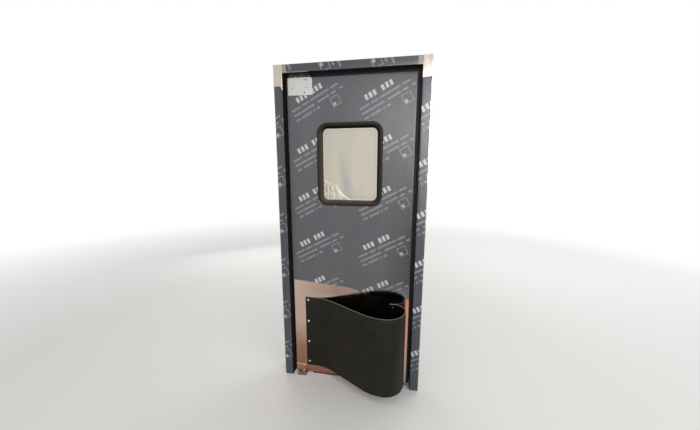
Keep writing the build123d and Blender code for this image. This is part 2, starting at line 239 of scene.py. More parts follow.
def only(piece):
    """Leave one piece selected and active."""
    bpy.ops.object.select_all(action="DESELECT")
    piece.select_set(True)
    bpy.context.view_layer.objects.active = piece


@contextmanager
def editing(piece):
    """Edit mode on one piece, with nothing selected at the start."""
    only(piece)
    bpy.ops.object.mode_set(mode="EDIT")
    bpy.ops.mesh.select_mode(type="FACE")
    bpy.ops.mesh.select_all(action="DESELECT")
    yield
    bpy.ops.object.mode_set(mode="OBJECT")


def everything(kind="FACE"):
    """Select all of a piece in edit mode."""
    bpy.ops.mesh.select_mode(type=kind)
    bpy.ops.mesh.select_all(action="SELECT")


def pick(piece, kind, test):
    """Select what passes a test: faces by their middle and normal, edges by the places of both their ends."""
    bpy.ops.mesh.select_mode(type=kind)
    bpy.ops.mesh.select_all(action="DESELECT")
    shape = bmesh.from_edit_mesh(piece.data)
    if kind == "FACE":
        found = [face for face in shape.faces if test(face.calc_center_median(), face.normal)]
    else:
        found = [edge for edge in shape.edges if all(test(corner.co) for corner in edge.verts)]
    if not found:
        raise RuntimeError(f"{piece.name}: nothing was selected")
    for part in found:
        part.select_set(True)
    shape.select_flush_mode()
    bmesh.update_edit_mesh(piece.data)


def pick_line(piece, way, spot):
    """Select the edges that run at one place along x or z."""
    pick(piece, "EDGE", lambda place: abs(getattr(place, way) - spot) < CLOSE)


def move_corners(piece, rule):
    """Let a rule move each corner of a piece in edit mode."""
    shape = bmesh.from_edit_mesh(piece.data)
    for corner in shape.verts:
        rule(corner.co)
    bmesh.update_edit_mesh(piece.data)


def push(x=0.0, y=0.0, z=0.0):
    """Extrude what is selected."""
    bpy.ops.mesh.extrude_region_move(TRANSFORM_OT_translate={"value": (x, y, z)})


def swing(centre, angle, steps, axis=AXIS_Z):
    """Spin what is selected round an axis, counterclockwise as seen from the axis's tip."""
    bpy.ops.mesh.spin(steps=steps, dupli=False, angle=-angle, center=centre, axis=axis)


def round_rim(offset, segments):
    """Round the outline of the faces that are selected."""
    bpy.ops.mesh.region_to_loop()
    bpy.ops.mesh.bevel(offset=offset, segments=segments, affect="EDGES")


def settle(piece):
    """Put a piece's place, turn and scale into its mesh."""
    only(piece)
    bpy.ops.object.transform_apply(location=True, rotation=True, scale=True)


def begin(name, add, low, high, **options):
    """Start a piece from a primitive that fills the box between two corners."""
    bpy.ops.object.select_all(action="DESELECT")
    add(size=1.0, **options)
    piece = bpy.context.object
    piece.name = name
    piece.data.name = name
    low, high = Vector(low), Vector(high)
    piece.location = (low + high) / 2
    span = high - low
    piece.scale = (span.x, span.z, 1.0) if span.y == 0 else span
    if span.y == 0:
        piece.rotation_euler = (QUARTER, 0, 0)
    settle(piece)
    return piece


def upright(name, x, z, y, columns=1, rows=1):
    """Start a piece from an upright grid that faces the front."""
    return begin(name, bpy.ops.mesh.primitive_grid_add, (x[0], y, z[0]), (x[1], y, z[1]),
                 x_subdivisions=columns, y_subdivisions=rows)


def disc(name, vertices, radius, height, offset, segments):
    """A round disc on the floor of its own frame, with its upper rim rounded."""
    bpy.ops.object.select_all(action="DESELECT")
    bpy.ops.mesh.primitive_cylinder_add(vertices=vertices, radius=radius, depth=height,
                                        location=(0, 0, height / 2))
    piece = bpy.context.object
    piece.name = name
    settle(piece)
    with editing(piece):
        pick(piece, "FACE", lambda _, normal: normal.z > 0.9)
        round_rim(offset, segments)
    return piece


def modify(piece, kind, **settings):
    """Add a modifier and apply it."""
    only(piece)
    modifier = piece.modifiers.new(kind.title(), kind)
    for setting, value in settings.items():
        setattr(modifier, setting, value)
    bpy.ops.object.modifier_apply(modifier=modifier.name)


def carve(piece, cutter):
    """Take a cutter's shape out of a piece, and remove the cutter."""
    modify(piece, "BOOLEAN", object=cutter, operation="DIFFERENCE", solver="EXACT")
    bpy.data.objects.remove(cutter)


def tidy_mesh(piece, merge=0.02 * MM):
    """Merge doubled corners and turn the faces outwards."""
    with editing(piece):
        everything()
        bpy.ops.mesh.remove_doubles(threshold=merge)
        bpy.ops.mesh.normals_make_consistent(inside=False)


def twin(master, name):
    """A copy of a piece, with its own mesh."""
    only(master)
    bpy.ops.object.duplicate(linked=False)
    copy = bpy.context.object
    copy.name = name
    copy.data.name = name
    return copy


def mirrored(piece, name):
    """A copy of a front piece for the back, mirrored about the middle of the leaf."""
    copy = twin(piece, name)
    copy.scale = (1, -1, 1)
    settle(copy)
    tidy_mesh(copy)
    return copy


def smooth(piece, degrees=35):
    """Smooth shading, with sharp edges kept."""
    only(piece)
    bpy.ops.object.shade_smooth_by_angle(angle=radians(degrees))


def lay_sheet(piece, rule):
    """Give a piece the places of its corners on the flat sheet it was cut from, in metres."""
    layer = piece.data.uv_layers.active or piece.data.uv_layers.new(name="sheet")
    for face in piece.data.polygons:
        for loop in face.loop_indices:
            layer.data[loop].uv = rule(piece.data.vertices[piece.data.loops[loop].vertex_index].co)


def mark(piece, name, rule):
    """Give each corner of a piece an amount that its material reads, from its place and normal."""
    layer = piece.data.attributes.new(name, "FLOAT", "POINT")
    for corner in piece.data.vertices:
        layer.data[corner.index].value = rule(corner.co, corner.normal)


def belongs(piece, body, slot, *replaced, finishes=()):
    """Give a piece the named finishes, let it move with its body, and hide the nodes it replaces; slot is not
    used.
    """
    for name in finishes:
        piece.data.materials.append(finish(name))
    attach(piece, body)
    if replaced:
        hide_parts(*replaced)


# Materials

class Patterns:
    """The nodes of a material or of the world"""

    def __init__(self, tree):
        self.tree = tree

    def node(self, kind, inputs=None, **options):
        made = self.tree.nodes.new("ShaderNode" + kind)
        for option, choice in options.items():
            setattr(made, option, choice)
        for key, value in (inputs or {}).items():
            self.feed(made.inputs[key], value)
        return made

    def feed(self, socket, value):
        if isinstance(value, bpy.types.NodeSocket):
            self.tree.links.new(value, socket)
        elif socket.type == "RGBA" and len(value) == 3:
            socket.default_value = (*value, 1.0)
        else:
            socket.default_value = value

    def math(self, operation, first, second=0.0):
        return self.node("Math", {0: first, 1: second}, operation=operation).outputs[0]

    def plus(self, first, second):
        return self.math("ADD", first, second)

    def minus(self, first, second):
        return self.math("SUBTRACT", first, second)

    def larger(self, first, second=0.0):
        return self.math("MAXIMUM", first, second)

    def distance(self, value):
        return self.math("ABSOLUTE", value)

    def product(self, *values):
        result = values[0]
        for value in values[1:]:
            result = self.math("MULTIPLY", result, value)
        return result

    def ramp(self, value, start, end, low=0.0, high=1.0):
        """Low at start and high at end, level outside."""
        return self.node("MapRange", {"Value": value, "From Min": start, "From Max": end,
                                      "To Min": low, "To Max": high}).outputs[0]

    def within(self, value, half, soft=0.4 * MM):
        """One where a value is nearer to zero than half, and zero outside."""
        return self.ramp(self.distance(value), half + soft, half - soft)


class Shade(Patterns):
    """One material: colours laid over each other, and patterns, up to its shader"""

    def __init__(self, base):
        self.material = bpy.data.materials.new("finish")
        self.material.use_nodes = True
        super().__init__(self.material.node_tree)
        self.shader = self.tree.nodes["Principled BSDF"]
        coordinates = self.node("TexCoord")
        self.place = coordinates.outputs["Object"]
        self.sheet = coordinates.outputs["UV"]
        self.base = base

    def lay(self, amount, tint):
        """Lay a colour over what is there."""
        self.base = self.mix(amount, self.base, tint)

    def set(self, **sockets):
        """Give the shader its colour and what else is named."""
        for name, value in {"Base_Color": self.base, **sockets}.items():
            self.feed(self.shader.inputs[name.replace("_", " ")], value)

    def mix(self, amount, first, second):
        return self.node("Mix", {0: amount, 6: first, 7: second}, data_type="RGBA").outputs[2]

    def mark(self, name):
        """An amount that the piece's corners carry."""
        return self.node("Attribute", attribute_name=name).outputs["Fac"]

    def axes(self, vector=None):
        """The first and the last part of a place: across the door, and up from the floor."""
        parts = self.node("SeparateXYZ", {0: vector or self.place}).outputs
        return parts[0], parts[2]

    def stretched(self, spans, source):
        """Coordinates in which a pattern's cells have these spans in millimetres."""
        scale = tuple(1 / (span * MM) for span in spans)
        return self.node("VectorMath", {0: source, 1: scale}, operation="MULTIPLY").outputs[0]

    def noise(self, *spans, detail=2.0, source=None):
        """Soft noise in cells of one span, or of three, in millimetres."""
        spans = spans * 3 if len(spans) == 1 else spans
        return self.node("TexNoise", {"Vector": self.stretched(spans, source or self.place), "Scale": 1.0,
                                      "Detail": detail}).outputs["Fac"]

    def sheet_noise(self, across, along, detail=2.0):
        """Soft noise on the flat sheet."""
        return self.noise(across, along, 1000, detail=detail, source=self.sheet)

    def bump(self, height, depth, under=None):
        """A normal raised by depth, in millimetres, where height is one."""
        made = self.node("Bump", {"Height": height, "Distance": depth * MM})
        if under is not None:
            self.feed(made.inputs["Normal"], under)
        return made.outputs["Normal"]

    def rounded(self, middle, half, corner):
        """Distance out from the outline of an upright window with round corners, less than zero inside."""
        x, z = (self.minus(self.distance(self.minus(part, centre)), reach - corner)
                for part, centre, reach in zip(self.axes(), (middle.x, middle.z), half))
        corner_x, corner_z = self.larger(x), self.larger(z)
        outside = self.math("SQRT", self.plus(self.product(corner_x, corner_x),
                                              self.product(corner_z, corner_z)))
        inside = self.math("MINIMUM", self.larger(x, z))
        return self.minus(self.plus(outside, inside), corner)


def brushed(tint, grain="Z", on_leaf=False):
    """Brushed stainless sheet, with its grain along one axis."""
    steel = bpy.context.scene.door_steel
    shade = Shade(tint)
    long, fine = 260, steel.grain / MM
    streaks = shade.noise(*{"Z": (fine, fine, long), "X": (long, fine, fine)}[grain], detail=3)
    clouds = shade.noise(140, 140, 340, detail=3)
    smudges = shade.noise(35, 35, 60, detail=4)
    if on_leaf:
        # Painted reflections: darker and warmer at the foot, brown from the bumper over it, copper at the
        # strike edge, grey again low down
        across, height = shade.axes()
        over_bumper = shade.product(shade.ramp(across, 110 * MM, 380 * MM, 0.0, 0.5),
                                    shade.ramp(height, 560 * MM, 640 * MM))
        near_edge = shade.ramp(across, skin_high.x - 110 * MM, skin_high.x - 20 * MM, 0.0, 0.85)
        shade.lay(shade.ramp(height, 420 * MM, 200 * MM), steel.leaf_floor_reflection)
        shade.lay(over_bumper, steel.shadow)
        shade.lay(near_edge, shade.mix(shade.ramp(height, 380 * MM, 140 * MM), steel.strike_edge_reflection, steel.frame))
    paler = shade.mix(0.1, shade.base, (1.0, 0.96, 0.9))
    darker = shade.mix(0.16, shade.base, (0.03, 0.025, 0.02))
    shade.base = shade.mix(shade.ramp(clouds, 0.3, 0.7), darker, shade.base)
    shade.lay(shade.ramp(streaks, 0.25, 0.75, 0.0, 0.75), paler)
    shade.set(Metallic=1.0, Normal=shade.bump(streaks, 0.012),
              Roughness=shade.ramp(smudges, 0.3, 0.75, steel.roughness, steel.roughness + 0.07))
    return shade


def cover_steel(scene):
    """The leaf's foot colour with its painted floor reflection, a little paler, a painted highlight along the
    top, and patchy painted shade and highlight at the right.
    """
    shade = brushed(tuple(min(1.0, level * 1.3 + 0.02) for level in scene.door_steel.leaf_floor_reflection))
    across, height = shade.axes()
    patchy = shade.ramp(shade.noise(5, detail=3), 0.42, 0.58)
    # Painted shade and patchy painted highlight along the right edge, and a painted highlight along the top
    side = shade.ramp(across, low_cover_high.x - 6 * MM, low_cover_high.x - 3 * MM)
    shade.lay(shade.product(side, 0.75), linear(58, 42, 30))
    shade.lay(shade.product(side, patchy), linear(226, 196, 150))
    shade.lay(shade.ramp(height, low_cover_high.z - 5 * MM, low_cover_high.z - 2 * MM, 0.0, 0.9),
              linear(250, 226, 206))
    shade.set()
    return shade


def print_masks(shade, slant):
    """Two masks of a film's print, which repeats along the sheet: heavy blocks, and rows of thin dashes."""
    pitch_across, pitch_along = 435 * MM, 312 * MM
    first_across, first_along = 213.5 * MM, 86 * MM
    left, low = -182.5 * MM, -211 * MM
    parts = shade.node("SeparateXYZ", {0: shade.sheet}).outputs
    du, dv = (shade.node("Math", {0: shade.minus(part, first), 1: start + pitch, 2: start},
                         operation="WRAP").outputs[0]
              for part, first, start, pitch in ((parts[0], first_across, left, pitch_across),
                                                (parts[1], first_along, low, pitch_along)))
    u = shade.plus(shade.product(du, cos(slant)), shade.product(dv, sin(slant)))
    v = shade.minus(shade.product(dv, cos(slant)), shade.product(du, sin(slant)))

    # Heavy blocks, in two groups of three
    block, half_height, half_row = 27.7 * MM, 16.5 * MM, 97 * MM
    cell = shade.math("FRACT", shade.math("DIVIDE", shade.plus(u, 3.5 * block), block))
    bars = shade.within(shade.minus(cell, 0.5), 0.32, 0.02)
    gap = shade.minus(1.0, shade.within(u, block / 2))
    blocks = shade.product(shade.within(v, half_height), shade.within(u, half_row), bars, gap)

    # Three rows of dashes below them: the second is a little longer, and the last one short
    first_row, row_pitch, dash = -43 * MM, 32 * MM, 12 * MM
    row_start, row_end, longer, shorter = -152 * MM, 184 * MM, 20 * MM, 159 * MM
    row = shade.math("DIVIDE", shade.minus(first_row, v), row_pitch)
    number = shade.math("ROUND", row)
    second = shade.within(shade.minus(number, 1.0), 0.5, 0.01)
    last = shade.math("GREATER_THAN", number, 1.5)
    end = shade.minus(shade.plus(row_end, shade.product(second, longer)), shade.product(last, shorter))
    letter = shade.math("FLOOR", shade.math("DIVIDE", u, dash))
    key = shade.node("CombineXYZ", {0: letter, 1: number, 2: 0.5}).outputs[0]
    chance = shade.node("TexWhiteNoise", {"Vector": key}, noise_dimensions="3D").outputs["Value"]
    fleck = shade.noise(2.4, 1.6, 1000, detail=1,
                        source=shade.node("CombineXYZ", {0: u, 1: v, 2: 0.0}).outputs[0])
    dashes = shade.product(
        shade.within(shade.minus(row, number), 0.2, 0.02), shade.within(shade.minus(row, 1.0), 1.4, 0.01),
        shade.math("GREATER_THAN", u, row_start), shade.math("LESS_THAN", u, end),
        shade.math("GREATER_THAN", chance, 0.14), shade.ramp(fleck, 0.3, 0.6, 0.35, 1.0))

    # A plain square mark at their end, with a patch in its lower left corner
    x, z = shade.minus(u, 127 * MM), shade.minus(v, -125 * MM)
    half_square, patch_in, half_patch = 27 * MM, 14 * MM, 9 * MM
    reach = shade.larger(shade.distance(x), shade.distance(z))
    outline = shade.within(shade.minus(reach, half_square), 2.2 * MM)
    patch = shade.product(*(shade.within(shade.plus(part, patch_in), half_patch) for part in (x, z)))
    return shade.larger(blocks, shade.product(patch, 0.7)), shade.larger(dashes, outline)


def film(tint, on_leaf=False):
    """Satin protective film: printed, faintly creased, and pale where it is torn."""
    settings = bpy.context.scene.door_film
    shade = Shade(toned(tint, 0.95, 0.99, 1.05))
    shade.lay(shade.ramp(shade.sheet_noise(190, 190, 3), 0.35, 0.65), toned(tint, 1.07, 1.0, 0.96))
    tight = 0.0
    if on_leaf:
        across, height = shade.axes()
        # Painted shade: the film darkens towards the strike edge
        near_edge = shade.ramp(across, skin_high.x - 190 * MM, skin_high.x - 5 * MM, 0.0, 0.9)
        shade.lay(near_edge, toned(tint, 0.42))
        # Where it lies tight on the steel, it mirrors what is in front of it as the steel does
        tight = shade.product(shade.ramp(across, TIGHT_FROM, TIGHT_FULL),
                              shade.ramp(height, 760 * MM, 705 * MM))
        shade.lay(tight, toned(tint, 1.55))
    draw, wide = shade.sheet_noise(2.2, 900), shade.sheet_noise(90, 520)
    shade.lay(shade.ramp(draw, 0.3, 0.7, 0.0, 0.12), toned(tint, 1.6))
    shade.lay(shade.ramp(wide, 0.35, 0.7, 0.0, 0.22), toned(tint, 0.6))

    # The print, worn here and there, and the pale torn edge
    blocks, dashes = print_masks(shade, settings.slant)
    ink = shade.sheet_noise(9, 9, 3)
    patchy = shade.ramp(ink, 0.3, 0.55, 0.65, 1.0)
    shade.lay(shade.product(dashes, patchy, 0.72), settings.light)
    shade.lay(shade.product(blocks, patchy), settings.heavy)
    shade.lay(shade.product(shade.mark("torn"), 0.45), settings.light)

    # Slow waves, creases and fine lines, nearly flat where the film is tight
    slow, crease = shade.sheet_noise(130, 210), shade.sheet_noise(40, 190)
    ridge = shade.math("POWER", shade.ramp(shade.distance(shade.minus(crease, 0.5)), 0.08, 0.0), 3.0)
    rough = shade.ramp(ink, 0.3, 0.7, 0.26, 0.36)
    if on_leaf:
        flatter = shade.ramp(tight, 0.0, 1.0, 1.0, 0.25)
        slow, ridge, draw = (shade.product(pattern, flatter) for pattern in (slow, ridge, draw))
        rough = shade.product(rough, shade.ramp(tight, 0.0, 1.0, 1.0, 0.35))
    normal = shade.bump(draw, 0.02, shade.bump(ridge, 0.06, shade.bump(slow, 1.6)))
    shade.set(Metallic=tight, Roughness=rough, Normal=normal, IOR=1.45)
    return shade


def moulded(tint, grain, depth, roughness, long=None, dust_and_painted_light=0.15, shine=0.5):
    """Rubber or plastic, sizes in millimetres: a fine surface, a little dust, and streaks along a length."""
    shade = Shade(tint)
    dusty = tuple(level + 0.02 for level in tint)
    clouds = shade.noise(90, detail=4)
    shade.lay(shade.ramp(clouds, 0.4, 0.75, 0.0, dust_and_painted_light), dusty)
    normal = shade.bump(shade.noise(grain, detail=3), depth)
    if long:
        ribs = shade.noise(*long, detail=1)
        shade.lay(shade.ramp(ribs, 0.45, 0.7, 0.0, 0.25), dusty)
        normal = shade.bump(ribs, 0.08, normal)
    shade.set(Roughness=shade.ramp(clouds, 0.3, 0.7, roughness, roughness + 0.12), Normal=normal,
              Specular_IOR_Level=shine)
    return shade


def ring_rubber(scene):
    """Rubber, a little dusty, with painted light where its faces turn up and to the right, and painted shade
    where they turn away.
    """
    settings = scene.door_window
    shade = moulded(settings.rubber, 0.7, 0.02, 0.42, shine=0.09)
    facing_light = shade.mark("facing_light")
    shade.lay(shade.ramp(facing_light, 0.12, 0.75, 0.0, 0.6), settings.dust_and_painted_light)
    shade.lay(shade.ramp(facing_light, -0.08, -0.45), settings.shaded_faces)
    shade.set()
    return shade


def core_foam(_):
    """Pale rigid foam with small cells."""
    shade = Shade(linear(196, 184, 140))
    cells = shade.node("TexVoronoi", {"Vector": shade.stretched((2, 2, 2), shade.place), "Scale": 1.0})
    shade.lay(shade.ramp(cells.outputs["Distance"], 0.0, 0.8), linear(232, 222, 184))
    shade.set(Roughness=0.9, Normal=shade.bump(cells.outputs["Distance"], 0.4))
    return shade


def metal(tint, rough, marks, depth, stain=linear(96, 74, 55)):
    """Plain or turned steel, sizes in millimetres: tool marks, and a few stains."""
    shade = Shade(tint)
    marks, stains = shade.noise(*marks), shade.noise(28, detail=5)
    shade.lay(shade.ramp(marks, 0.3, 0.7, 0.0, 0.4), toned(tint, 0.6))
    shade.lay(shade.ramp(stains, 0.58, 0.75, 0.0, 0.5), stain)
    shade.set(Metallic=1.0, Roughness=shade.ramp(stains, 0.3, 0.7, rough, rough + 0.2),
              Normal=shade.bump(marks, depth))
    return shade


def pane_acrylic(_):
    """Clear acrylic, a little cream, with wide smears."""
    shade = Shade(linear(214, 208, 196))
    smears = shade.noise(60, 60, 120, detail=3)
    shade.lay(shade.ramp(smears, 0.4, 0.7, 0.0, 0.2), linear(190, 182, 168))
    shade.set(Roughness=shade.ramp(smears, 0.3, 0.7, 0.08, 0.2), Transmission_Weight=0.25, IOR=1.49)
    return shade


def pane_film(scene):
    """Milky film, with upright bands, glossy where it has come loose, with painted highlights and shadows on
    the loose folds.
    """
    tint = scene.door_window.film
    shade = Shade(toned(tint, 0.90, 0.95, 0.98))
    shade.lay(shade.ramp(shade.noise(70, 1000, 260), 0.35, 0.65), toned(tint, 1.03, 1.0, 0.97))

    # A wide greyer band, which leans to the right on its way down
    across, height = shade.axes()
    width = pane_high.x - pane_low.x
    foot, top = pane_low.x + 0.62 * width - 48 * MM, pane_low.x + 0.25 * width
    middle = shade.ramp(height, pane_low.z, pane_high.z, foot, top)
    crease = shade.product(shade.within(shade.minus(across, middle), 26 * MM, 22 * MM),
                           shade.ramp(height, 1700 * MM, 1400 * MM))
    shade.lay(crease, linear(173, 170, 164))

    # A paler rim along the ring, with a thin line inside it
    sight = (ring_half.x - RING_BAND, ring_half.z - RING_BAND)
    edge = shade.rounded(ring_middle, sight, SIGHT_CORNER)
    line = shade.within(shade.plus(edge, 10.5 * MM), 0.9 * MM, 0.6 * MM)
    shade.lay(shade.ramp(edge, -10 * MM, -8.5 * MM, 0.0, 0.5), linear(222, 214, 202))
    shade.lay(shade.product(line, 0.5), linear(150, 142, 130))

    # The loose corner: crumpled and duller, with painted highlights along its ridges and painted shadow in
    # its pits
    loose, ridge = shade.mark("loose"), shade.mark("ridge")
    crumple = shade.noise(7, 7, 13, detail=3)
    crumpled = shade.mix(shade.ramp(crumple, 0.36, 0.62), linear(168, 161, 150), linear(214, 207, 196))
    shade.lay(shade.product(loose, 0.85), crumpled)
    shade.lay(shade.ramp(ridge, 0.0, 1.0), linear(240, 233, 224))
    shade.lay(shade.ramp(ridge, 0.0, -1.0), linear(78, 72, 70))
    shade.set(Roughness=shade.ramp(loose, 0.0, 1.0, 0.42, 0.26),
              Normal=shade.bump(shade.product(crumple, loose), 0.9))
    return shade


# Every finish by its name. Numbers after a colour: for rubber and plastic the grain's cells, its depth, the
# roughness and the streaks' spans, and for metal the roughness, the tool marks' spans and their depth
SAWN, TURNED, PRESSED = (60, 0.8, 0.8), (60, 60, 0.6), (3, 3, 3)
FINISHES = {
    "leaf_steel": lambda scene: brushed(scene.door_steel.leaf, on_leaf=True),
    "frame_steel": lambda scene: brushed(scene.door_steel.frame),
    # The header's steel is the frame's, darkened as painted shade
    "header_steel": lambda scene: brushed(toned(scene.door_steel.frame, 0.58), grain="X"),
    "cover_steel": cover_steel,
    "leaf_film": lambda scene: film(scene.door_film.leaf, on_leaf=True),
    "frame_film": lambda scene: film(scene.door_film.frame),
    "reveal_painted_shade": lambda scene: moulded(scene.door_film.reveal_shade, 0.7, 0.03, 0.85, (1.5, 1.5, 600), dust_and_painted_light=0.1,
                                           shine=0.12),
    "seal_rubber": lambda scene: moulded(linear(12, 11, 11), 0.6, 0.02, 0.5, (1.5, 1.5, 400), shine=0.22),
    "ring_rubber": ring_rubber,
    "bumper_plastic": lambda scene: moulded(scene.door_bumper.plastic, 0.9, 0.035, 0.44, dust_and_painted_light=0.25,
                                            shine=0.12),
    "bumper_inside_shade": lambda scene: moulded(scene.door_bumper.inside, 0.9, 0.035, 0.7, dust_and_painted_light=0.1, shine=0.03),
    "bumper_cut_highlight": lambda scene: moulded(scene.door_bumper.cut, 0.5, 0.05, 0.6, (90, 1.2, 1.2)),
    "cover_plastic": lambda scene: moulded(scene.door_cover.plastic, 1.1, 0.015, 0.36, dust_and_painted_light=0.0),
    "hole_shadow": lambda scene: moulded(linear(30, 29, 28), 0.5, 0.01, 0.8),
    "channel_plastic": lambda scene: moulded(linear(70, 70, 72), 0.6, 0.02, 0.5, (1.5, 1.5, 500)),
    "core_foam": core_foam,
    "washer_nylon": lambda scene: moulded(linear(222, 220, 212), 0.8, 0.01, 0.4),
    "cast_iron": lambda scene: moulded(linear(112, 112, 114), 1.6, 0.12, 0.55, dust_and_painted_light=0.3),
    "plate_steel": lambda scene: metal(linear(150, 147, 142), 0.38, SAWN, 0.02),
    "bracket_black": lambda scene: metal(linear(32, 30, 29), 0.5, SAWN, 0.02, linear(40, 34, 29)),
    "pin_steel": lambda scene: metal(linear(168, 166, 162), 0.25, TURNED, 0.02),
    "screw_steel": lambda scene: metal(scene.door_screw.steel, 0.28, PRESSED, 0.01),
    "dull_screw_steel": lambda scene: metal(scene.door_screw.dull, 0.4, PRESSED, 0.01),
    "pane_acrylic": pane_acrylic,
    "pane_film": pane_film,
}


def finish(name):
    """One of the finishes, built the first time that it is asked for; the CAD's own have the bare names."""
    made = bpy.data.materials.get("door_" + name)
    if not made:
        made = FINISHES[name](bpy.context.scene).material
        made.name = "door_" + name
    return made


def coat(name, *nodes):
    """Give CAD nodes one of the finishes."""
    for node in nodes:
        for slot in frame["nodes"][node].material_slots:
            slot.material = finish(name)


# Stage

# The camera, shifted by two of the 700 pixels that the photograph is wide
CAMERA_PLACE, CAMERA_TURN = (0.8005, -1.790, 1.4965), (80.128, -0.051, 10.422)
CAMERA_SHIFT = 2 / 700
SENSOR_WIDTH = 36.0


class DOOR_OT_stage(Operator):
    """Lay the floor, set the lamps and the world, and place the camera where the photograph was taken"""
    bl_idname = "door.stage"
    bl_label = "Stage"

    def execute(self, context):
        scene, settings = context.scene, context.scene.door_stage
        scene.view_settings.view_transform = "Standard"
        self.floor(settings.floor)
        self.world(scene, settings.daylight)
        middle = (cad_box[0] + cad_box[1]) / 2

        # Each lamp's place from the foot of the door's middle, its width and height, and its power
        lamps = (("key", (3.4, -2.8, 3.1), (2.6, 2.6), settings.key),
                 ("window", (0.95, -3.4, 2.2), (0.7, 1.5), settings.window),
                 ("fill", (-3.0, -3.2, 1.7), (2.2, 2.2), settings.fill),
                 ("sheen_strip", (1.0, -3.4, 1.75), (0.4, 2.4), settings.sheen),
                 ("sheen_top", (0.23, -3.4, 2.3), (0.55, 0.6), settings.sheen / 5),
                 ("rear", (2.6, 3.4, 2.7), (2.6, 2.6), settings.key),
                 ("rear_window", (-2.2, 3.0, 1.6), (2.2, 2.2), settings.window))
        for name, offset, (wide, high), watts in lamps:
            bpy.ops.object.light_add(type="AREA", location=Vector(offset) + Vector((middle.x, 0, 0)))
            lamp = context.object
            lamp.name = name + "_lamp"
            lamp.data.shape = "RECTANGLE"
            lamp.data.size = wide
            lamp.data.size_y = high
            lamp.data.energy = watts
            lamp.rotation_euler = (middle - lamp.location).to_track_quat("-Z", "Y").to_euler()
            lamp.visible_diffuse = not name.startswith("sheen")
        bpy.ops.object.camera_add(location=CAMERA_PLACE, rotation=[radians(turn) for turn in CAMERA_TURN])
        camera = context.object
        camera.name = "photo_camera"
        camera.data.lens = settings.lens
        camera.data.sensor_width = SENSOR_WIDTH
        camera.data.shift_y = CAMERA_SHIFT
        scene.camera = camera
        return {"FINISHED"}

    def floor(self, tint):
        """A pale floor that fades to white far from the door."""
        bpy.ops.object.select_all(action="DESELECT")
        bpy.ops.mesh.primitive_circle_add(vertices=96, radius=11.0, fill_type="NGON")
        floor = bpy.context.object
        floor.name = "stage_floor"
        shade = Shade(tint)
        shade.material.name = "stage_floor"
        shade.lay(shade.ramp(shade.noise(14, detail=4), 0.3, 0.7, 0.0, 0.08), (0.6, 0.59, 0.57))
        shade.set(Roughness=0.7)
        distance = shade.node("VectorMath", {0: shade.place}, operation="LENGTH").outputs["Value"]
        camera_ray = shade.node("LightPath").outputs["Is Camera Ray"]
        far = shade.product(shade.ramp(distance, 2.2, 6.5), camera_ray)
        white = shade.node("Emission", {"Color": (1.0, 1.0, 1.0), "Strength": 1.0})
        both = shade.node("MixShader", {0: far, 1: shade.shader.outputs[0], 2: white.outputs[0]})
        shade.feed(shade.tree.nodes["Material Output"].inputs["Surface"], both.outputs[0])
        floor.data.materials.append(shade.material)

    def world(self, scene, daylight):
        """Soft light from all round, behind a white background."""
        scene.world = bpy.data.worlds.new("stage_world")
        scene.world.use_nodes = True
        patterns = Patterns(scene.world.node_tree)
        rays = patterns.node("LightPath").outputs
        seen = rays["Is Camera Ray"]
        for ray in ("Is Glossy Ray", "Is Transmission Ray"):
            seen = patterns.larger(seen, rays[ray])
        background = scene.world.node_tree.nodes["Background"]
        patterns.feed(background.inputs["Color"], (1.0, 1.0, 1.0))
        patterns.feed(background.inputs["Strength"], patterns.ramp(seen, 0.0, 1.0, daylight))


# Frame

# The channels' bends, half the depth of the reveals, and how far film stays off lips, ends and corners
BEND = 2.5 * MM
REVEAL = half_frame - BEND
LIP_EDGE = 2.6 * MM
HEADER_LEFT, HEADER_RIGHT = 27 * MM, 26 * MM
CLEAR = 0.4 * MM

# Heights at which a jamb's film is cut off, from its outer edge to the bend and round it
HINGE_CUTS = (1995, 1995, 1995, 1996, 1975, 1972)
STRIKE_CUTS = (2008.5, 2007, 2006, 2005, 2003, 2001)

# How far each print is moved round the channel and along it
HINGE_PRINT, STRIKE_PRINT, HEADER_PRINT = (363, 183.3), (285, 138.1), (363, 20.2)


class DOOR_OT_frame_steel(Operator):
    """Give the frame, its anchors and the fixed parts of the pivots their finishes"""
    bl_idname = "door.frame_steel"
    bl_label = "Frame steel"

    def execute(self, context):
        coat("frame_steel", "hinge_jamb", "strike_jamb")
        # The header takes a darker copy of the frame's steel, as painted shade
        coat("header_steel", "header")
        coat("plate_steel", "hinge_jamb_anchors", "strike_jamb_anchors", "floor_pivot_plate")
        # The pivot bracket is near black as painted shade
        coat("bracket_black", "top_pivot_bracket")
        coat("pin_steel", "top_pivot_pin", "floor_pivot_pin")
        coat("washer_nylon", "thrust_washer")
        return {"FINISHED"}


